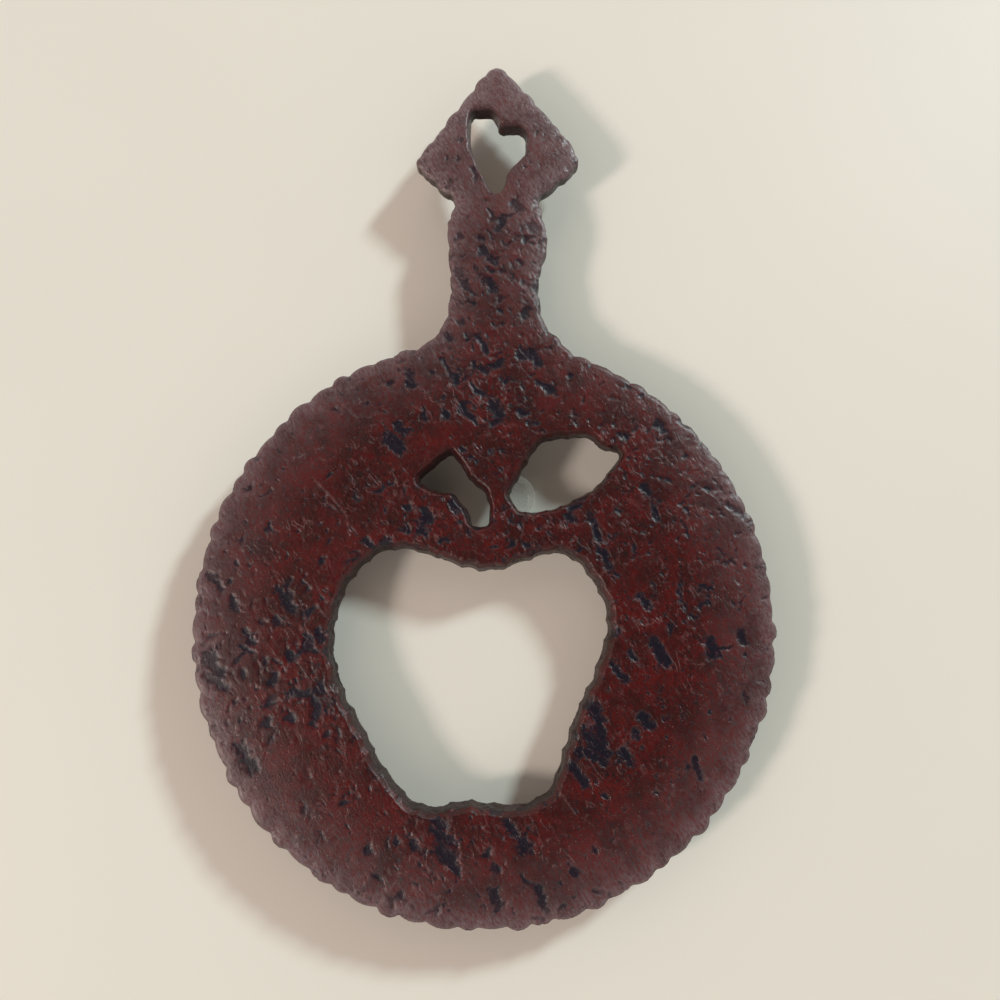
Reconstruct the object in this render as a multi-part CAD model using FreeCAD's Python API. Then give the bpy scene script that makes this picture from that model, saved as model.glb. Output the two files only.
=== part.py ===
"""Apple trivet with a paddle handle.

One thick plate: a round disc with an apple and its two leaves cut through it,
and a flat handle that ends in a diamond with a heart-shaped hanging hole.
Every edge is scalloped.  The plate stands on four stick-on clear bumpers.
Millimetres, +Z up, +Y towards the handle tip, origin under the middle of the
whole piece on the surface that it stands on.
"""
import FreeCAD
import Part
import math
import os

os.makedirs("parts", exist_ok=True)
Vector = FreeCAD.Vector

# Driving dimensions
DISC_RADIUS = 80.6
PLATE_THICKNESS = 6.0
BUMPER_DIAMETER = 12.7
BUMPER_HEIGHT = 6.3
ADHESIVE_THICKNESS = 0.2
ADHESIVE_MARGIN = 0.15

# Bumper profile: foot as a share of its radius, and heights as shares of its height
BUMPER_FOOT = 0.78
BUMPER_FLOOR_ROUND = 0.12
BUMPER_WAIST = 0.82
# Where a chord cuts a 45-degree corner, as a share of the corner's size
CORNER_CUT = 0.3

# Edge work of the plate
TOP_ROUND = 1.2
UNDER_ROUND = 0.8
WALL_BREAK = 1.8
# Knee of the top round: how far in and how far down it is, as shares of the round
TOP_KNEE = (0.4, 0.3)
# Share of a hole's slope that lies below the break
LOWER_SLOPE = 0.4
# Scallops fade a little where the edge is rounded over
EDGE_FADE = 0.9
TOP_FADE = 0.8

# Scallops: pitch along an edge, and how far a crest stands out from its notches
DISC_SCALLOP = (7.0, 1.0)
HANDLE_SCALLOP = (6.2, 0.65)
APPLE_SCALLOP = (6.6, 0.6)
LEAF_SCALLOP = (5.0, 0.4)
HEART_SCALLOP = (4.6, 0.25)
# Hand-filed unevenness, as shares: of the pitch for notches and crests, and of the rise
NOTCH_DRIFT = 0.22
CREST_DRIFT = 0.14
RISE_DRIFT = 0.55

# How far each hole widens from its underside rim to its top rim, per wall
APPLE_SLOPE = 2.1
LEAF_SLOPE = 1.4
HEART_SLOPE = 1.1

# Heights
PLATE_BOTTOM = BUMPER_HEIGHT + ADHESIVE_THICKNESS
PLATE_TOP = PLATE_BOTTOM + PLATE_THICKNESS

# Outlines, measured from the centre of the disc: x, y and corner radius.
# The handle starts inside the disc and is cut off where it passes under it.
HANDLE = [
    (40.0, 62.0, 0.0),
    (17.4, 85.6, 9.0),
    (16.0, 98.0, 14.0),
    (19.2, 112.0, 6.0),
    (16.0, 124.6, 3.0),
    (29.4, 136.2, 3.4),
    (22.4, 147.6, 25.0),
    (3.4, 170.2, 4.8),
    (-21.6, 136.2, 3.2),
    (-8.6, 124.4, 3.0),
    (-11.4, 117.2, 6.0),
    (-9.8, 99.0, 25.0),
    (-11.4, 84.6, 10.0),
    (-40.0, 62.0, 0.0),
]
# Underside rims of the holes
HEART = [
    (-4.1, 153.5, 2.6),
    (2.4, 153.5, 1.8),
    (4.4, 147.6, 1.9),
    (12.5, 148.4, 3.2),
    (12.0, 139.8, 2.8),
    (6.6, 134.0, 5.0),
    (4.6, 127.2, 1.0),
    (2.5, 127.2, 1.0),
    (-2.2, 137.2, 4.0),
    (-4.4, 144.5, 5.0),
]
LEFT_LEAF = [
    (-19.0, 39.6, 1.2),
    (-9.3, 47.6, 1.2),
    (-3.6, 39.0, 8.0),
    (0.5, 36.2, 2.4),
    (1.7, 26.6, 1.6),
    (-3.3, 26.8, 1.6),
    (-3.6, 30.4, 5.0),
    (-8.8, 36.6, 2.5),
    (-12.8, 36.4, 3.0),
]
RIGHT_LEAF = [
    (7.4, 35.4, 2.2),
    (16.6, 51.2, 6.0),
    (30.6, 52.6, 5.0),
    (34.2, 48.6, 4.0),
    (40.4, 47.8, 1.4),
    (31.4, 37.2, 9.0),
    (20.0, 31.6, 12.0),
    (10.4, 30.8, 2.6),
]
# The apple is one smooth closed curve through these points
APPLE = [
    (-25.4, 19.6),
    (-13.0, 17.2),
    (-1.6, 13.6),
    (11.0, 15.8),
    (21.8, 18.6),
    (30.4, 11.4),
    (34.6, 0.4),
    (32.0, -11.6),
    (26.2, -24.2),
    (21.8, -36.0),
    (18.0, -45.4),
    (9.6, -49.8),
    (-4.0, -48.6),
    (-15.4, -50.0),
    (-24.4, -43.6),
    (-32.6, -30.4),
    (-39.4, -17.2),
    (-41.8, -3.2),
    (-37.0, 11.4),
]

# Centres of the bumpers, measured from the centre of the disc
BUMPERS = {
    "top": (8.5, 35.5),
    "left": (-61.5, -6.0),
    "right": (59.5, -8.0),
    "bottom": (-5.0, -66.0),
}


def cornered_wire(corners, closed=True):
    """Straight runs joined by tangent arcs of the radius given at each corner."""
    count = len(corners)
    points = [Vector(x, y, 0) for x, y, _ in corners]
    ends = []
    for i in range(count):
        here = points[i]
        radius = corners[i][2]
        if radius == 0.0:
            ends.append((here, here, here))
            continue
        back = (points[i - 1] - here).normalize()
        ahead = (points[(i + 1) % count] - here).normalize()
        half = back.getAngle(ahead) / 2.0
        reach = radius / math.tan(half)
        middle = (back + ahead).normalize() * (radius / math.sin(half) - radius)
        ends.append((here + back * reach, here + middle, here + ahead * reach))
    edges = []
    for i in range(count):
        start, crown, stop = ends[i]
        if not start.isEqual(stop, 1e-6):
            edges.append(Part.Arc(start, crown, stop).toShape())
        following = ends[(i + 1) % count][0]
        if (closed or i + 1 < count) and not stop.isEqual(following, 1e-6):
            edges.append(Part.LineSegment(stop, following).toShape())
    return Part.Wire(edges)


def smooth_wire(points):
    """One smooth closed curve through the points."""
    curve = Part.BSplineCurve()
    curve.interpolate(Points=[Vector(x, y, 0) for x, y in points], PeriodicFlag=True)
    return Part.Wire([curve.toShape()])


def plate_wire():
    """Outline of the disc with its handle, before the edge is scalloped."""
    rim = Part.Wire([Part.Circle(Vector(0, 0, 0), Vector(0, 0, 1), DISC_RADIUS).toShape()])
    handle = Part.Face(cornered_wire(HANDLE))
    return Part.Face(rim).fuse(handle).removeSplitter().Faces[0].OuterWire


def uneven(step):
    """A steady, uneven value between -1 and 1 for each whole number."""
    return 0.6 * math.sin(2.4 * step + 0.5) + 0.4 * math.sin(5.3 * step + 1.9)


def scallop_stations(wire, scallop_of):
    """(point, outward normal, rise) for each notch and crest, in order round the wire.

    Every edge of the wire takes a whole number of scallops, so its corners keep
    their shape.  A notch lies between two crests, and has no rise.
    """
    stations = []
    for edge in wire.OrderedEdges:
        first, last = edge.ParameterRange
        if edge.Orientation == "Reversed":
            first, last = last, first
        pitch, rise = scallop_of(edge)
        count = max(1, round(edge.Length / pitch))
        rise *= min(1.0, edge.Length / count / pitch)
        for i in range(count):
            number = len(stations) // 2
            shift = NOTCH_DRIFT * uneven(number) if i > 0 else 0.0
            skew = 0.5 + CREST_DRIFT * uneven(number + 7)
            height = rise * (1.0 + RISE_DRIFT * uneven(number + 3))
            for place, out in ((i + shift, 0.0), (i + skew, height)):
                at = first + (last - first) * place / count
                along = edge.tangentAt(at) * (1.0 if last > first else -1.0)
                stations.append((edge.valueAt(at), Vector(along.y, -along.x, 0), out))
    return stations


def rough_sections(wire, scallop_of, levels):
    """Scalloped copies of a wire, one for each (z, outward offset, share of the rise)."""
    stations = scallop_stations(wire, scallop_of)
    points = [point for point, _, _ in stations]
    area = sum(a.x * b.y - b.x * a.y for a, b in zip(points, points[1:] + points[:1]))
    outward = 1.0 if area > 0 else -1.0
    mean_rise = sum(rise for _, _, rise in stations) / len(stations)
    sections = []
    for z, offset, share in levels:
        placed = [
            point + normal * outward * (offset + share * (rise - mean_rise)) + Vector(0, 0, z)
            for point, normal, rise in stations
        ]
        placed += placed[:1]
        arcs = [Part.Arc(*placed[i:i + 3]).toShape() for i in range(0, len(stations), 2)]
        sections.append(Part.Wire(arcs))
    return sections


def edge_scallop(edge):
    """Pitch and rise on the outer edge: finer on the handle than round the disc."""
    return DISC_SCALLOP if edge.CenterOfMass.y < DISC_RADIUS / 2.0 else HANDLE_SCALLOP


def hole_sections(wire, slope, scallop):
    """Rims of a hole from the underside up: its walls lean out and break near the top."""
    levels = [
        (PLATE_BOTTOM, 0.0, 1.0),
        (PLATE_TOP - WALL_BREAK, LOWER_SLOPE * slope, 1.0),
        (PLATE_TOP, slope, TOP_FADE),
    ]
    return rough_sections(wire, lambda edge: scallop, levels)


def trivet_plate():
    """The plate, with the apple, its leaves and the heart right through it."""
    edge_levels = [
        (PLATE_BOTTOM, -UNDER_ROUND, EDGE_FADE),
        (PLATE_BOTTOM + UNDER_ROUND, 0.0, 1.0),
        (PLATE_TOP - TOP_ROUND, 0.0, 1.0),
        (PLATE_TOP - TOP_KNEE[1] * TOP_ROUND, -TOP_KNEE[0] * TOP_ROUND, EDGE_FADE),
        (PLATE_TOP, -TOP_ROUND, TOP_FADE),
    ]
    outlines = [
        rough_sections(plate_wire(), edge_scallop, edge_levels),
        hole_sections(smooth_wire(APPLE), APPLE_SLOPE, APPLE_SCALLOP),
        hole_sections(cornered_wire(LEFT_LEAF), LEAF_SLOPE, LEAF_SCALLOP),
        hole_sections(cornered_wire(RIGHT_LEAF), LEAF_SLOPE, LEAF_SCALLOP),
        hole_sections(cornered_wire(HEART), HEART_SLOPE, HEART_SCALLOP),
    ]
    faces = [
        Part.makeFace([sections[end] for sections in outlines], "Part::FaceMakerBullseye")
        for end in (0, -1)
    ]
    for sections in outlines:
        faces += Part.makeLoft(sections, False, True).Faces
    shell = Part.Shell(faces)
    shell.sewShape()
    return Part.Solid(shell)


def turned(profile, x, y):
    """Solid of revolution about a vertical axis through x, y from (radius, z) points."""
    wire = Part.makePolygon([Vector(r, 0, z) for r, z in profile + profile[:1]])
    solid = Part.Face(wire).revolve(Vector(0, 0, 0), Vector(0, 0, 1), 360)
    solid.translate(Vector(x, y, 0))
    return solid


def bumper(x, y):
    """Clear stick-on foot: widest where it sticks, with a rounded edge on the floor."""
    radius = BUMPER_DIAMETER / 2.0
    foot = BUMPER_FOOT * radius
    edge = BUMPER_FLOOR_ROUND * BUMPER_HEIGHT
    profile = [
        (0.0, 0.0),
        (foot - edge, 0.0),
        (foot - CORNER_CUT * edge, CORNER_CUT * edge),
        (foot, edge),
        (radius, BUMPER_WAIST * BUMPER_HEIGHT),
        (radius, BUMPER_HEIGHT),
        (0.0, BUMPER_HEIGHT),
    ]
    return turned(profile, x, y)


def adhesive(x, y):
    """Disc of adhesive film between a bumper and the underside of the plate."""
    radius = BUMPER_DIAMETER / 2.0 - ADHESIVE_MARGIN
    profile = [
        (0.0, BUMPER_HEIGHT),
        (radius, BUMPER_HEIGHT),
        (radius, PLATE_BOTTOM),
        (0.0, PLATE_BOTTOM),
    ]
    return turned(profile, x, y)


def main():
    nodes = {"trivet_plate": trivet_plate()}
    for place, (x, y) in BUMPERS.items():
        nodes["bumper_" + place] = bumper(x, y)
        nodes["adhesive_" + place] = adhesive(x, y)

    # The origin is under the middle of the plate's own outline
    box = nodes["trivet_plate"].optimalBoundingBox(False)
    to_origin = Vector(-box.Center.x, -box.Center.y, 0)
    for name, shape in nodes.items():
        shape.translate(to_origin)
        shape.exportStep(f"parts/{name}.step")
        print(name, "valid" if shape.isValid() else "NOT VALID", len(shape.Solids), round(shape.Volume, 1))
    print("size", round(box.XLength, 2), round(box.YLength, 2), PLATE_TOP)
    print("disc centre", round(to_origin.x, 2), round(to_origin.y, 2))


main()
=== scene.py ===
"""Looks of the apple trivet: the painted plate, its clear bumpers and their films.

Metres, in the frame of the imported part: +Z up, +Y towards the tip of the handle.
Lengths written in millimetres are multiplied by MM.
"""
import math
import random

import bmesh
import bpy
import numpy as np
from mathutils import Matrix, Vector
from mathutils.kdtree import KDTree


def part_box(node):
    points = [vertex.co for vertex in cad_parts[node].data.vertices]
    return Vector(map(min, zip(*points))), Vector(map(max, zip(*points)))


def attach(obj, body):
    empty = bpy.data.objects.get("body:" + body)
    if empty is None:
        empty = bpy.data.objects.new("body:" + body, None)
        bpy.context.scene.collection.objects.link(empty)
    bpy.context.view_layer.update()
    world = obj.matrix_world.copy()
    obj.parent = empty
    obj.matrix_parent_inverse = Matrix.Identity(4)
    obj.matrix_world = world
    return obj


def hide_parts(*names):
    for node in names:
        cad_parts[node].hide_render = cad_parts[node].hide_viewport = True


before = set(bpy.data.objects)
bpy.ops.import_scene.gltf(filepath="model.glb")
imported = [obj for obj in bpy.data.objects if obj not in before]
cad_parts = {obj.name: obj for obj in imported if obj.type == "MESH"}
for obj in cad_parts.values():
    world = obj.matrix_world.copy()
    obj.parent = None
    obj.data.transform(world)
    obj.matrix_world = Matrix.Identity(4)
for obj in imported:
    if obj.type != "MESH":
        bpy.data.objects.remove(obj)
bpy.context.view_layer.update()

MM = 0.001
PLATE_LOW, PLATE_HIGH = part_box("trivet_plate")
DISC_RADIUS = (PLATE_HIGH.x - PLATE_LOW.x) / 2
DISC_CENTRE = Vector((0.0, PLATE_LOW.y + DISC_RADIUS, 0.0))

# Camera: hand-held above the disc, leaning a little towards the handle
CAMERA_PLACE = Vector((6.88, -37.75, 222.5)) * MM
CAMERA_TURN = (math.radians(7.585), math.radians(0.605), math.radians(0.08))
CAMERA_LENS = 27.04

# Plate surface: mesh step, softening passes and relief depths, in mm
VOXEL = 0.38
SOFTEN_PASSES = 2
PIT_DEPTH = 0.28
SCAR_HEIGHT = 0.14
CREASE_HEIGHT = 0.09
WRINKLE_DEPTH = 0.08
LUMP_DEPTH = 0.12
# The top falls away towards the outer edge, like a pillow
PILLOW_WIDTH = 12.0
PILLOW_DROP = 0.5
# How far a surface faces up before the pillow starts to lower it, and does so fully
PILLOW_FACING = (0.1, 0.7)

# Marks of the surface: angle in degrees, length and width in mm
SLOPING_PITS = (-50, 5.0, 3.8)
STEEP_PITS = (-78, 4.8, 3.8)
RISING_PITS = (32, 5.2, 3.6)
SMALL_PITS = (-58, 2.9, 2.1)
CREASES = (-56, 5.2, 2.1)
WRINKLES = (-62, 2.5, 1.3)
STREAKS = (-60, 1.6, 0.6)
# Sizes of rounder variations, in mm
PATCH_SIZE = 21.0
ROUGH_SIZE = 13.0
LUMP_SIZE = 6.0
CREASE_RUN = 3.0
CLOUD_SIZE = 9.0
# Noise levels between which a mark starts and is complete
PIT_ONSET = (0.595, 0.73)
SMALL_PIT_ONSET = (0.60, 0.71)
SMALL_PIT_DEPTH = 0.8
ROUGH_ONSET = (0.38, 0.60)
# Edge of a drawn pit, in half widths, and of a scar, in mm: where each is whole and gone
PIT_EDGE = (0.40, 1.45)
SCAR_EDGE = (0.0, 0.45)
# Where pits change from steep to sloping, in mm from the middle of the disc
STEEP_SIDE = (-38.0, -8.0)

# Worn areas where the dark undercoat shows more, and calm ones where it shows less:
# x, y and radius in mm from the middle of the disc, and strength
AREAS = [
    (-6, 72, 26, 0.035),
    (5, 106, 20, 0.05),
    (-52, -10, 24, 0.06),
    (-16, 28, 18, 0.04),
    (-6, -62, 18, 0.04),
    (30, -30, 12, 0.05),
    (-56, 50, 18, -0.06),
    (-60, -42, 18, -0.07),
    (46, -56, 20, -0.06),
    (58, -14, 14, -0.04),
    (2, 160, 22, -0.08),
]

# Plain deep pits and long raised scars, drawn at random: how many pits lie in each worn area
# and over the whole disc, how many scars, and the least and greatest length, lean in degrees
# and half width in mm
MARKS_SEED = 7
PITS_PER_AREA = 7
PITS_OVER_DISC = 34
SCARS_OVER_DISC = 9
WHOLE_DISC = (0, 0, 78, 0.0)
PIT_LENGTHS = (0.5, 6.5)
PIT_LEANS = (-78, -28)
PIT_HALF_WIDTHS = (1.0, 2.2)
SCAR_LENGTHS = (5.0, 13.0)
SCAR_LEANS = (-80, -30)
FAR = 99.0

# The pale haze, partly worn paint and partly painted sheen: how far it reaches in from the outer edge,
# and its share there
WIDE_WEAR_AND_SHEEN = (24.0, 0.28)
EDGE_WEAR_AND_SHEEN = (6.0, 0.30)
# A painted sheen also grows along the handle, between these places in the part's frame, up to this
# share
HANDLE_PAINTED_SHEEN = (50.0, 112.0, 0.26)
# Middle of the area above the leaves where the haze and painted sheen are held back, and its reach
LESS_SHEEN_SPOT = (22.0, 56.0, 12.0)
LESS_SHEEN_REACH = (18.0, 52.0)
# How far down a wall the painted shade, darker and browner, begins and is complete
WALL_SHADE_START = 0.9
WALL_SHADE_FULL = 2.2

RED = (0.088, 0.0062, 0.0058)
DEEP_RED = (0.040, 0.0048, 0.0046)
BROWN_RED = (0.068, 0.0160, 0.0145)
NAVY = (0.0060, 0.0062, 0.0140)
BLACK = (0.0065, 0.0055, 0.0065)
# Pale pink of ridges and sharp edges: partly rubbed paint, partly painted highlight
RUB_AND_HIGHLIGHT_PINK = (0.17, 0.082, 0.085)
# Pale mauve haze: partly worn paint, partly painted sheen
PALE_WEAR_AND_SHEEN = (0.190, 0.132, 0.142)
# Dark brown of walls and underside: painted shade with a browner tone
WALL_SHADE_BROWN = (0.018, 0.0095, 0.0085)
LINT = (0.34, 0.27, 0.24)
CLEAR_GREY = (0.78, 0.77, 0.72)
DUST_BROWN = (0.45, 0.40, 0.34)
FILM_GREY = (0.70, 0.69, 0.64)
BUBBLE_WHITE = (0.88, 0.87, 0.83)
FLOOR_CREAM = (0.80, 0.77, 0.70)
FLOOR_WIDTH = 16.0
SKY_LOW = (1.0, 0.91, 0.86)
SKY_OVERHEAD = (1.0, 0.76, 0.62)

# Studio dome: the middle of its dark cap, and the angles from there at which it is dark and full
CAP_TOWARDS = Vector((0.136, 0.133, 1.0))
CAP_ANGLES = (20, 60)
DOME_LEVEL = 0.68
WARM_ANGLES = (30, 62)
# Brighter panel beyond the handle: its middle, where it is full and where it ends
PANEL_TOWARDS = Vector((-0.20, 0.84, 1.0))
PANEL_ANGLES = (7, 18)
PANEL_LEVEL = 0.75

# Lamps: direction, width in metres, light on the floor and tint
LAMP_DISTANCE = 4.0
LAMPS = {
    "left_light": (Vector((-18.5, -8.3, 12.5)), 0.69, 0.51, (1.0, 0.86, 0.78)),
    "right_light": (Vector((18.4, 17.8, 12.5)), 0.53, 0.76, (0.83, 1.0, 1.0)),
}

# Bumper, as in the CAD: foot over the radius, and its floor edge and waist over the height
FOOT_SHARE = 0.78
FLOOR_EDGE = 0.12
WAIST = 0.82
# Its shallow cup underneath, the lip of its moulding line and the swell of its side, in mm
CUP = 0.12
LIP = 0.15
SWELL = 0.10


class Graph:
    """Short calls that add nodes to a shader tree or a geometry tree."""

    def __init__(self, tree):
        self.tree = tree

    def node(self, kind, **settings):
        made = self.tree.nodes.new(kind)
        for name, value in settings.items():
            setattr(made, name, value)
        return made

    def feed(self, sockets, values):
        for socket, value in zip(sockets, values):
            if isinstance(value, bpy.types.NodeSocket):
                self.tree.links.new(value, socket)
            elif value is not None:
                socket.default_value = value

    def math(self, operation, *values, clamp=False):
        made = self.node("ShaderNodeMath", operation=operation, use_clamp=clamp)
        self.feed(made.inputs, values)
        return made.outputs[0]

    def vector(self, operation, *values):
        made = self.node("ShaderNodeVectorMath", operation=operation)
        self.feed(made.inputs, values)
        return made.outputs["Value" if operation in ("DOT_PRODUCT", "LENGTH", "DISTANCE") else "Vector"]

    def scaled(self, vector, factor):
        made = self.node("ShaderNodeVectorMath", operation="SCALE")
        self.feed([made.inputs[0], made.inputs["Scale"]], [vector, factor])
        return made.outputs["Vector"]

    def smooth(self, value, low, high, start=0.0, stop=1.0):
        """Smooth step of a value from start at low to stop at high."""
        made = self.node("ShaderNodeMapRange", interpolation_type="SMOOTHSTEP")
        self.feed(made.inputs, [value, low, high, start, stop])
        return made.outputs[0]

    def noise(self, vector, scale=1.0, detail=2.0, roughness=0.5, distortion=0.0):
        made = self.node("ShaderNodeTexNoise")
        names = ("Vector", "Scale", "Detail", "Roughness", "Distortion")
        self.feed([made.inputs[n] for n in names], [vector, scale, detail, roughness, distortion])
        return made.outputs[0]

    def mix(self, factor, first, second):
        """Colour between two colours."""
        made = self.node("ShaderNodeMix", data_type="RGBA")
        opaque = [v if isinstance(v, bpy.types.NodeSocket) else (*v, 1.0) for v in (first, second)]
        self.feed([made.inputs[0], made.inputs[6], made.inputs[7]], [factor, *opaque])
        return made.outputs[2]

    def stroked(self, place, stroke):
        """Coordinates in which a round blob is a stroke of that angle, length and width."""
        angle, long, short = stroke
        turn = math.radians(angle)
        along = self.vector("DOT_PRODUCT", place, (math.cos(turn) / long, math.sin(turn) / long, 0.0))
        side = (-math.sin(turn) / short, math.cos(turn) / short, 0.0)
        across = self.vector("DOT_PRODUCT", place, side)
        up = self.vector("DOT_PRODUCT", place, (0.0, 0.0, 1.0 / short))
        made = self.node("ShaderNodeCombineXYZ")
        self.feed(made.inputs, [along, across, up])
        return made.outputs[0]


def patchiness(graph, place, shifted):
    """How much more or less the surface is marked from place to place."""
    broad = graph.noise(place, 1 / PATCH_SIZE, 1.0)
    bias = graph.math("MULTIPLY", graph.math("SUBTRACT", broad, 0.5), 0.16)
    for x, y, radius, strength in AREAS:
        away = graph.vector("DISTANCE", shifted, (x, y, PLATE_HIGH.z / MM))
        near = graph.smooth(away, 0.35 * radius, 1.2 * radius, strength, 0.0)
        bias = graph.math("ADD", bias, near)
    return bias


def relief(graph, place, pit, scar):
    """Marks of the surface: wrinkles are -0.5 to 0.5, all the others 0 to 1.

    place is in mm, pit is the distance from the nearest drawn pit over its half width,
    and scar is the distance from the nearest scar in mm.
    """
    shifted = graph.vector("SUBTRACT", place, tuple(DISC_CENTRE / MM))
    bias = patchiness(graph, place, shifted)

    def strokes(stroke, detail, roughness, distortion):
        return graph.noise(graph.stroked(place, stroke), 1.0, detail, roughness, distortion)

    # Strokes lean one way on the right and stand steeper on the left
    across = graph.vector("DOT_PRODUCT", shifted, (1.0, 0.25, 0.0))
    left = graph.smooth(across, *STEEP_SIDE, 1.0, 0.0)
    sloping = strokes(SLOPING_PITS, 1.6, 0.5, 0.2)
    steep = strokes(STEEP_PITS, 1.6, 0.5, 0.2)
    rising = strokes(RISING_PITS, 1.6, 0.5, 0.2)
    leaning = graph.math("MULTIPLY_ADD", graph.math("SUBTRACT", steep, sloping), left, sloping)
    deepest = graph.math("MAXIMUM", leaning, graph.math("SUBTRACT", rising, 0.02))
    chance = graph.smooth(graph.math("ADD", deepest, bias), *PIT_ONSET)
    small = graph.math("MULTIPLY_ADD", bias, 0.6, strokes(SMALL_PITS, 2.0, 0.55, 0.2))
    small = graph.smooth(small, *SMALL_PIT_ONSET, 0.0, SMALL_PIT_DEPTH)
    ragged = graph.math("SUBTRACT", graph.noise(place, 0.6, 3.0, 0.6), 0.5)
    drawn = graph.smooth(graph.math("MULTIPLY_ADD", ragged, 3.0, pit), *PIT_EDGE, 1.0, 0.0)
    pits = graph.math("MAXIMUM", graph.math("MAXIMUM", chance, small), drawn)

    rough = graph.math("ADD", graph.noise(place, 1 / ROUGH_SIZE, 1.0), bias)
    rough = graph.smooth(rough, *ROUGH_ONSET, 0.2, 1.0)
    line = strokes(CREASES, 1.5, 0.5, 0.5)
    folded = graph.math("ABSOLUTE", graph.math("MULTIPLY_ADD", line, 2.0, -1.0))
    broken = graph.smooth(graph.noise(place, 1 / CREASE_RUN, 1.0), 0.48, 0.60)
    creases = graph.math("MULTIPLY", graph.smooth(folded, 0.0, 0.10, 1.0, 0.0), broken)
    creases = graph.math("MULTIPLY", creases, rough)
    scars = graph.smooth(graph.math("MULTIPLY_ADD", ragged, 0.8, scar), *SCAR_EDGE, 1.0, 0.0)

    wrinkles = strokes(WRINKLES, 2.0, 0.55, 0.4)
    wrinkles = graph.math("MULTIPLY", graph.math("SUBTRACT", wrinkles, 0.5), rough)
    lumps = graph.noise(place, 1 / LUMP_SIZE, 2.0)
    return {
        "pits": pits,
        "scars": scars,
        "creases": creases,
        "wrinkles": wrinkles,
        "lumps": lumps,
        "rough": rough,
    }


def relief_height(graph, parts):
    """Height of the relief in mm, at most 0, so that it only cuts into the plate."""
    height = graph.math("MULTIPLY", parts["pits"], -PIT_DEPTH)
    height = graph.math("MULTIPLY_ADD", parts["creases"], CREASE_HEIGHT, height)
    height = graph.math("MULTIPLY_ADD", parts["scars"], SCAR_HEIGHT, height)
    height = graph.math("MULTIPLY_ADD", parts["wrinkles"], 2.0 * WRINKLE_DEPTH, height)
    height = graph.math("MULTIPLY_ADD", parts["lumps"], LUMP_DEPTH, height)
    height = graph.math("SUBTRACT", height, (SCAR_HEIGHT + WRINKLE_DEPTH + LUMP_DEPTH) / 2)
    return graph.math("MINIMUM", height, 0.0)


def applied(obj):
    """The object with its modifiers applied to its mesh."""
    evaluated = obj.evaluated_get(bpy.context.evaluated_depsgraph_get())
    mesh = bpy.data.meshes.new_from_object(evaluated)
    obj.modifiers.clear()
    obj.data = mesh
    return obj


def outer_wall(mesh):
    """Points along the wall that goes round the whole plate, not those of its holes."""
    shape = bmesh.new()
    shape.from_mesh(mesh)
    bmesh.ops.remove_doubles(shape, verts=shape.verts, dist=0.001 * MM)
    left = {face for face in shape.faces if abs(face.normal.z) < 0.5}
    widest, points = 0.0, []
    while left:
        wall, front = set(), [left.pop()]
        while front:
            face = front.pop()
            wall.add(face)
            beside = {other for edge in face.edges for other in edge.link_faces} & left
            left -= beside
            front += beside
        ends = [edge.verts for face in wall for edge in face.edges]
        spots = [a.co.lerp(b.co, share) for a, b in ends for share in (0.0, 0.5)]
        width = max(p.x for p in spots) - min(p.x for p in spots)
        if width > widest:
            widest, points = width, spots
    shape.free()
    return points


def measure_rim(mesh, points):
    """Store on each vertex how far it is from the outer wall, seen from above, in mm."""
    tree = KDTree(len(points))
    for i, point in enumerate(points):
        tree.insert((point.x, point.y, 0.0), i)
    tree.balance()
    far = [tree.find((v.co.x, v.co.y, 0.0))[2] / MM for v in mesh.vertices]
    mesh.attributes.new("rim", "FLOAT", "POINT").data.foreach_set("value", far)


def drawn_strokes(draw, area, count, lengths, leans):
    """Straight strokes at random places in a round area, each as its two ends in mm."""
    x, y, radius, _ = area
    strokes = []
    for _ in range(count):
        turn = draw.uniform(0.0, 2.0 * math.pi)
        out = radius * math.sqrt(draw.random())
        middle = np.array((x + out * math.cos(turn), y + out * math.sin(turn)))
        lean = math.radians(draw.uniform(*leans))
        reach = draw.uniform(*lengths) / 2 * np.array((math.cos(lean), math.sin(lean)))
        strokes.append((middle - reach, middle + reach))
    return strokes


def measure_marks(mesh):
    """Store on each vertex of the top how near the drawn pits and the scars are."""
    spots = np.empty(len(mesh.vertices) * 3)
    mesh.vertices.foreach_get("co", spots)
    spots = (spots.reshape(-1, 3) - np.array(DISC_CENTRE)) / MM
    under = spots[:, 2] < (PLATE_LOW.z + PLATE_HIGH.z) / 2 / MM

    def away(start, stop):
        run = np.subtract(stop, start)
        along = np.clip((spots[:, :2] - start) @ run / max(run @ run, 0.01), 0.0, 1.0)
        return np.linalg.norm(spots[:, :2] - start - along[:, None] * run, axis=1)

    draw = random.Random(MARKS_SEED)
    worn = [(area, PITS_PER_AREA) for area in AREAS if area[3] > 0]
    pits = []
    for area, count in [*worn, (WHOLE_DISC, PITS_OVER_DISC)]:
        for stroke in drawn_strokes(draw, area, count, PIT_LENGTHS, PIT_LEANS):
            pits.append(away(*stroke) / draw.uniform(*PIT_HALF_WIDTHS))
    scars = drawn_strokes(draw, WHOLE_DISC, SCARS_OVER_DISC, SCAR_LENGTHS, SCAR_LEANS)
    pit = np.min(pits, axis=0)
    scar = np.min([away(*stroke) for stroke in scars], axis=0)
    for name, values in (("pit", pit), ("scar", scar)):
        values[under] = FAR
        mesh.attributes.new(name, "FLOAT", "POINT").data.foreach_set("value", values)


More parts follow.
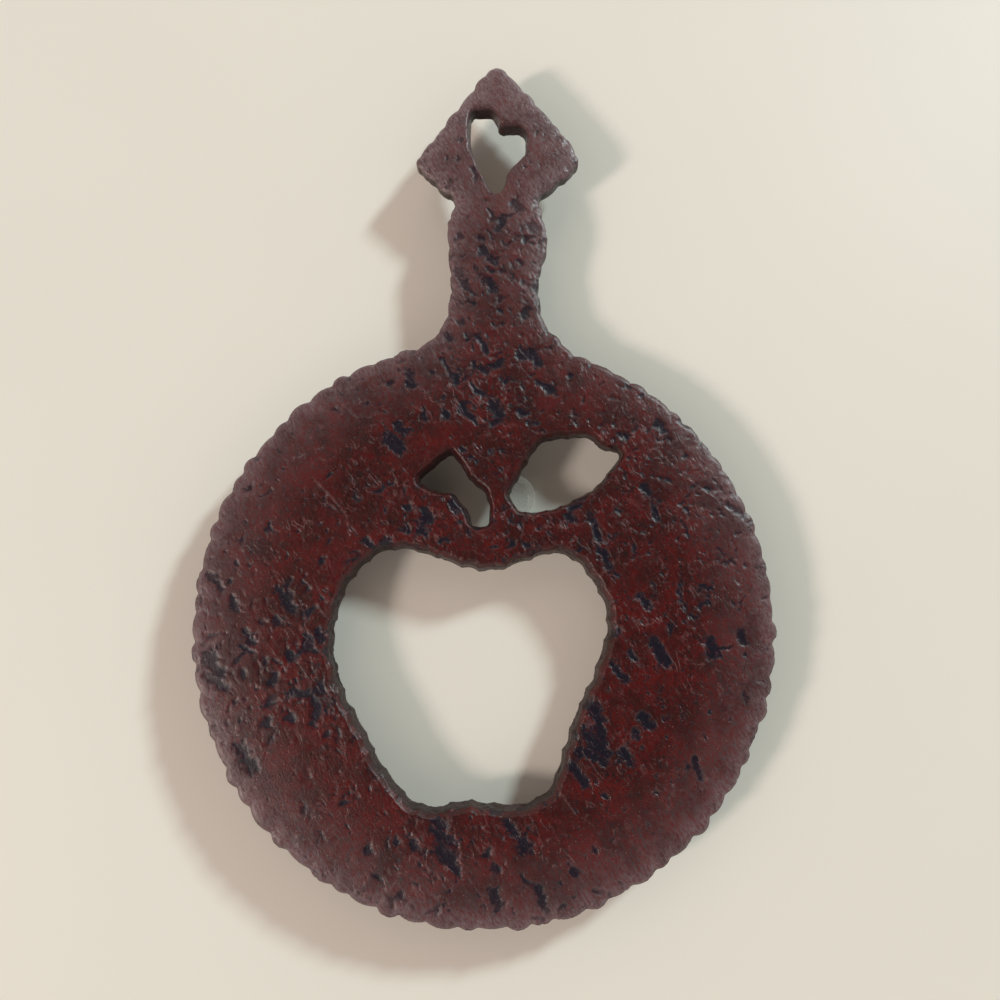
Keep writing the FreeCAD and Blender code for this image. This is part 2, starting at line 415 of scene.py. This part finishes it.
def carve_relief(obj):
    """Let the top fall away to the outer edge, and cut the relief in along the normals."""
    tree = bpy.data.node_groups.new("plate_relief", "GeometryNodeTree")
    for direction in ("INPUT", "OUTPUT"):
        tree.interface.new_socket("Geometry", in_out=direction, socket_type="NodeSocketGeometry")
    graph = Graph(tree)
    source = graph.node("NodeGroupInput")
    target = graph.node("NodeGroupOutput")
    place = graph.scaled(graph.node("GeometryNodeInputPosition").outputs[0], 1.0 / MM)
    rim, pit, scar = (
        graph.node("GeometryNodeInputNamedAttribute", data_type="FLOAT") for _ in range(3)
    )
    for stored, name in ((rim, "rim"), (pit, "pit"), (scar, "scar")):
        stored.inputs["Name"].default_value = name
    height = relief_height(graph, relief(graph, place, pit.outputs[0], scar.outputs[0]))
    normal = graph.node("GeometryNodeInputNormal").outputs[0]
    offset = graph.scaled(normal, graph.math("MULTIPLY", height, MM))
    near = graph.math("SUBTRACT", 1.0, graph.math("DIVIDE", rim.outputs[0], PILLOW_WIDTH), clamp=True)
    upward = graph.vector("DOT_PRODUCT", normal, (0.0, 0.0, 1.0))
    upward = graph.smooth(upward, *PILLOW_FACING)
    drop = graph.math("MULTIPLY", graph.math("MULTIPLY", near, near), upward)
    fall = graph.node("ShaderNodeCombineXYZ")
    graph.feed([fall.inputs[2]], [graph.math("MULTIPLY", drop, -PILLOW_DROP * MM)])
    offset = graph.vector("ADD", offset, fall.outputs[0])
    moved = graph.node("GeometryNodeSetPosition")
    graph.feed([moved.inputs["Geometry"], moved.inputs["Offset"]], [source.outputs[0], offset])
    graph.feed(target.inputs, [moved.outputs[0]])
    obj.modifiers.new("relief", "NODES").node_group = tree
    return applied(obj)


def principled(name):
    """A new material with its graph, its Principled shader and its place in mm."""
    material = bpy.data.materials.new(name)
    material.use_nodes = True
    graph = Graph(material.node_tree)
    shader = material.node_tree.nodes["Principled BSDF"]
    place = graph.scaled(graph.node("ShaderNodeTexCoord").outputs["Object"], 1.0 / MM)
    return material, graph, shader, place


def wear_and_sheen_share(graph, place, rim, cloud):
    """Share of the pale haze, partly worn paint and partly painted sheen, strongest at the outer edge
    and the diamond.
    """
    reach, share = WIDE_WEAR_AND_SHEEN
    wide = graph.smooth(rim, -4.0, reach, share, 0.0)
    reach, share = EDGE_WEAR_AND_SHEEN
    wear_and_sheen = graph.math("ADD", wide, graph.smooth(rim, 0.0, reach, share, 0.0))
    start, stop, share = HANDLE_PAINTED_SHEEN
    along = graph.vector("DOT_PRODUCT", place, (0.0, 1.0, 0.0))
    wear_and_sheen = graph.math("ADD", wear_and_sheen, graph.smooth(along, start, stop, 0.0, share))
    spot = tuple(DISC_CENTRE / MM + Vector(LESS_SHEEN_SPOT))
    away = graph.vector("DISTANCE", place, spot)
    wear_and_sheen = graph.math("MULTIPLY", wear_and_sheen, graph.smooth(away, *LESS_SHEEN_REACH, 0.3, 1.0))
    return graph.math("MULTIPLY", wear_and_sheen, graph.smooth(cloud, 0.3, 0.6, 0.7, 1.1))


def paint():
    """Oxblood paint rubbed back over a blue-black undercoat, under a satin varnish, with painted sheen,
    highlight and shade.
    """
    material, graph, shader, place = principled("oxblood_paint")
    rim, pit, scar = (
        graph.node("ShaderNodeAttribute", attribute_name=name).outputs["Fac"]
        for name in ("rim", "pit", "scar")
    )
    parts = relief(graph, place, pit, scar)
    fine = graph.noise(place, 1.5, 4.0, 0.7)
    streak = graph.noise(graph.stroked(place, STREAKS), 1.0, 3.0, 0.65, 0.5)
    cloud = graph.noise(place, 1 / CLOUD_SIZE, 4.0, 0.65)

    # The red coat, mottled and stained
    colour = graph.mix(graph.smooth(cloud, 0.36, 0.64), DEEP_RED, RED)
    colour = graph.mix(graph.smooth(fine, 0.45, 0.70, 0.0, 0.6), colour, BROWN_RED)
    stain = graph.math("MULTIPLY", graph.smooth(streak, 0.42, 0.62), graph.smooth(fine, 0.36, 0.58))
    stain = graph.math("MULTIPLY", stain, graph.smooth(parts["rough"], 0.1, 1.0, 0.65, 1.0))
    colour = graph.mix(stain, colour, BLACK)
    # Pale haze over the red: partly worn paint, partly painted sheen, and a painted sheen along the
    # handle and diamond
    wear_and_sheen = wear_and_sheen_share(graph, place, rim, cloud)
    streaky_wear_and_sheen = graph.math("MULTIPLY", wear_and_sheen, graph.smooth(streak, 0.35, 0.65, 0.5, 1.4))
    colour = graph.mix(streaky_wear_and_sheen, colour, PALE_WEAR_AND_SHEEN)

    # The dark undercoat in the pits, and a pale pink on the ridges and sharp edges, partly rubbed paint
    # and partly painted highlight
    ragged = graph.math("MULTIPLY_ADD", graph.math("SUBTRACT", fine, 0.5), 1.1, parts["pits"])
    bare = graph.smooth(ragged, 0.10, 1.0)
    bare = graph.math("MULTIPLY", bare, graph.smooth(wear_and_sheen, 0.0, 0.6, 0.95, 0.55))
    colour = graph.mix(bare, colour, NAVY)
    raised = graph.math("MAXIMUM", parts["creases"], parts["scars"])
    pointed = graph.node("ShaderNodeNewGeometry").outputs["Pointiness"]
    rubbed_and_highlit = graph.math("MAXIMUM", raised, graph.smooth(pointed, 0.52, 0.60))
    rubbed_and_highlit = graph.math("MULTIPLY", rubbed_and_highlit, graph.smooth(fine, 0.35, 0.6, 0.05, 0.5))
    colour = graph.mix(rubbed_and_highlit, colour, RUB_AND_HIGHLIGHT_PINK)

    # Painted shade, darker and browner, on the walls and underside below the top, and specks of lint
    height = graph.vector("DOT_PRODUCT", place, (0.0, 0.0, 1.0))
    top = PLATE_HIGH.z / MM
    wall = graph.smooth(height, top - WALL_SHADE_FULL, top - WALL_SHADE_START, 0.85, 0.0)
    colour = graph.mix(wall, colour, WALL_SHADE_BROWN)
    speck = graph.smooth(graph.noise(place, 3.2, 1.0), 0.735, 0.775, 0.0, 0.7)
    colour = graph.mix(speck, colour, LINT)
    graph.feed([shader.inputs["Base Color"]], [colour])

    gloss = graph.smooth(fine, 0.3, 0.75, 0.27, 0.42)
    graph.feed([shader.inputs["Roughness"]], [gloss])
    shader.inputs["IOR"].default_value = 1.40
    shader.inputs["Coat Weight"].default_value = 0.08
    shader.inputs["Coat Roughness"].default_value = 0.2

    grain = graph.noise(place, 2.2, 4.0, 0.7)
    bump_height = graph.math("MULTIPLY", streak, 0.10)
    for marks, share in ((grain, 0.09), (raised, 0.05), (parts["pits"], -0.05)):
        bump_height = graph.math("MULTIPLY_ADD", marks, share, bump_height)
    bump = graph.node("ShaderNodeBump")
    bump.inputs["Distance"].default_value = MM
    graph.feed([bump.inputs["Height"]], [bump_height])
    graph.feed([shader.inputs["Normal"], shader.inputs["Coat Normal"]], [bump.outputs[0]] * 2)
    return material


def clear_rubber():
    """Clear polyurethane: the floor shows through it, its side is a little milkier."""
    material, graph, shader, place = principled("clear_polyurethane")
    speck = graph.noise(place, 2.0, 3.0, 0.6)
    colour = graph.mix(graph.smooth(speck, 0.66, 0.76), CLEAR_GREY, DUST_BROWN)
    graph.feed([shader.inputs["Base Color"]], [colour])
    graph.feed([shader.inputs["Roughness"]], [graph.smooth(speck, 0.4, 0.8, 0.06, 0.2)])
    normal = graph.node("ShaderNodeNewGeometry").outputs["Normal"]
    upward = graph.vector("DOT_PRODUCT", normal, (0.0, 0.0, 1.0))
    side = graph.smooth(graph.math("ABSOLUTE", upward), 0.35, 0.95, 0.42, 0.07)
    graph.feed([shader.inputs["Alpha"]], [side])
    shader.inputs["IOR"].default_value = 1.49
    return material


def adhesive_film():
    """Clear acrylic film with a few small trapped bubbles."""
    material, graph, shader, place = principled("acrylic_film")
    bubble = graph.smooth(graph.noise(place, 1.3, 2.0), 0.60, 0.66)
    graph.feed([shader.inputs["Base Color"]], [graph.mix(bubble, FILM_GREY, BUBBLE_WHITE)])
    graph.feed([shader.inputs["Roughness"]], [graph.math("MULTIPLY_ADD", bubble, 0.2, 0.15)])
    graph.feed([shader.inputs["Alpha"]], [graph.math("MULTIPLY_ADD", bubble, 0.12, 0.06)])
    shader.inputs["IOR"].default_value = 1.47
    return material


def linked(name, mesh):
    obj = bpy.data.objects.new(name, mesh)
    bpy.context.scene.collection.objects.link(obj)
    return obj


def shade_smooth(obj):
    obj.data.polygons.foreach_set("use_smooth", [True] * len(obj.data.polygons))


def plate():
    """The casting: the CAD shape with softened edges and its surface relief."""
    obj = linked("plate_casting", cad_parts["trivet_plate"].data.copy())
    even = obj.modifiers.new("even", "REMESH")
    even.mode = "VOXEL"
    even.voxel_size = VOXEL * MM
    soften = obj.modifiers.new("soften", "SMOOTH")
    soften.factor = 0.5
    soften.iterations = SOFTEN_PASSES
    points = outer_wall(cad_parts["trivet_plate"].data)
    measure_rim(applied(obj).data, points)
    measure_marks(obj.data)
    carve_relief(obj)
    shade_smooth(obj)
    obj.data.materials.clear()
    obj.data.materials.append(paint())
    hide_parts("trivet_plate")
    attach(obj, "root")
    return obj


def lathe(name, profile, centre, steps=96):
    """Mesh turned about a vertical axis from (radius, height) points."""
    shape = bmesh.new()
    rings = []
    for radius, height in profile:
        ring = []
        for i in range(steps if radius > 0 else 1):
            turn = 2 * math.pi * i / steps
            spot = (centre.x + radius * math.cos(turn), centre.y + radius * math.sin(turn), height)
            ring.append(shape.verts.new(spot))
        rings.append(ring)
    for below, above in zip(rings, rings[1:]):
        for i in range(steps):
            j = (i + 1) % steps
            lower = [below[i % len(below)], below[j % len(below)]]
            upper = [above[j % len(above)], above[i % len(above)]]
            shape.faces.new(list(dict.fromkeys(lower + upper)))
    bmesh.ops.recalc_face_normals(shape, faces=shape.faces)
    mesh = bpy.data.meshes.new(name)
    shape.to_mesh(mesh)
    shape.free()
    return linked(name, mesh)


def rounded(corner, start, stop, radius, steps=6):
    """Points of a quarter-round between two directions at a corner of a profile."""
    points = []
    for i in range(steps + 1):
        turn = math.radians(start + (stop - start) * i / steps)
        points.append((corner[0] + radius * math.cos(turn), corner[1] + radius * math.sin(turn)))
    return points


def bumper(place, material):
    """A tapered clear foot with a rounded floor edge, a shallow cup and a moulding line."""
    low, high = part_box("bumper_" + place)
    centre = (low + high) / 2
    radius = (high.x - low.x) / 2
    tall = high.z - low.z
    foot = FOOT_SHARE * radius
    edge = FLOOR_EDGE * tall
    cup = CUP * MM
    lip = LIP * MM
    waist = low.z + WAIST * tall
    profile = [(0.0, low.z + cup), (0.5 * foot, low.z + 0.8 * cup)]
    profile.append((foot - 2.2 * edge, low.z + 0.2 * cup))
    profile += rounded((foot - edge, low.z + edge), -90, -14, edge)
    for share in (0.25, 0.5, 0.75):
        swell = SWELL * MM * math.sin(math.pi * share)
        height = low.z + edge + share * (waist - low.z - edge)
        profile.append((foot + share * (radius - foot) - swell, height))
    profile += [(radius - lip, waist - lip), (radius - 0.2 * lip, waist), (radius, waist + lip)]
    profile += rounded((radius - lip, high.z - lip), 0, 90, lip)
    profile.append((0.0, high.z))
    obj = lathe("foot_" + place, profile, centre)
    shade_smooth(obj)
    obj.data.materials.append(material)
    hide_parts("bumper_" + place)
    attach(obj, "root")
    return obj


def floor():
    """A wide plain pale floor."""
    bpy.ops.mesh.primitive_plane_add(size=FLOOR_WIDTH, location=(0.0, 0.0, 0.0))
    obj = bpy.context.object
    obj.name = "floor"
    material, graph, shader, place = principled("pale_floor")
    shade = graph.noise(place, 1 / 60, 2.0)
    paler = tuple(min(1.0, c * 1.03) for c in FLOOR_CREAM)
    graph.feed([shader.inputs["Base Color"]], [graph.mix(shade, FLOOR_CREAM, paler)])
    shader.inputs["Roughness"].default_value = 0.55
    shader.inputs["Specular IOR Level"].default_value = 0.25
    obj.data.materials.append(material)


def lamp(name, direction, size, level, tint):
    """A round soft light.  level is its light on a floor facing it, over that of a white sky."""
    light = bpy.data.lights.new(name, "AREA")
    light.shape = "DISK"
    light.size = size
    light.energy = level * math.pi * math.pi * LAMP_DISTANCE ** 2
    light.color = tint
    obj = linked(name, light)
    obj.location = DISC_CENTRE + direction.normalized() * LAMP_DISTANCE
    obj.rotation_euler = (-direction).to_track_quat("-Z", "Y").to_euler()


def sky():
    """Soft studio dome: dark and warm overhead, brighter lower down and beyond the handle."""
    world = bpy.data.worlds.new("studio")
    bpy.context.scene.world = world
    world.use_nodes = True
    graph = Graph(world.node_tree)
    background = world.node_tree.nodes["Background"]
    generated = graph.node("ShaderNodeTexCoord").outputs["Generated"]
    direction = graph.vector("NORMALIZE", generated)

    def near(towards, angles, full, gone):
        """Level for the angle from a direction: full within the first angle, gone past the other."""
        close = graph.vector("DOT_PRODUCT", direction, tuple(towards.normalized()))
        inner, outer = (math.cos(math.radians(angle)) for angle in angles)
        return graph.smooth(close, outer, inner, gone, full)

    dome = near(CAP_TOWARDS, CAP_ANGLES, 0.0, DOME_LEVEL)
    panel = near(PANEL_TOWARDS, PANEL_ANGLES, PANEL_LEVEL, 0.0)
    strength = graph.math("ADD", dome, panel)
    tint = graph.mix(near(CAP_TOWARDS, WARM_ANGLES, 1.0, 0.0), SKY_LOW, SKY_OVERHEAD)
    graph.feed([background.inputs["Color"], background.inputs["Strength"]], [tint, strength])


def camera():
    data = bpy.data.cameras.new("camera")
    data.sensor_width = 36.0
    data.lens = CAMERA_LENS
    data.clip_start = 0.01
    data.clip_end = 20.0
    obj = linked("camera", data)
    obj.location = CAMERA_PLACE
    obj.rotation_euler = CAMERA_TURN
    bpy.context.scene.camera = obj


camera()
floor()
sky()
for name, settings in LAMPS.items():
    lamp(name, *settings)
plate()
rubber = clear_rubber()
film = adhesive_film()
for place in ("top", "left", "right", "bottom"):
    bumper(place, rubber)
    film_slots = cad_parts["adhesive_" + place].data.materials
    film_slots.clear()
    film_slots.append(film)

scene = bpy.context.scene
scene.view_settings.view_transform = "Standard"
scene.view_settings.look = "None"
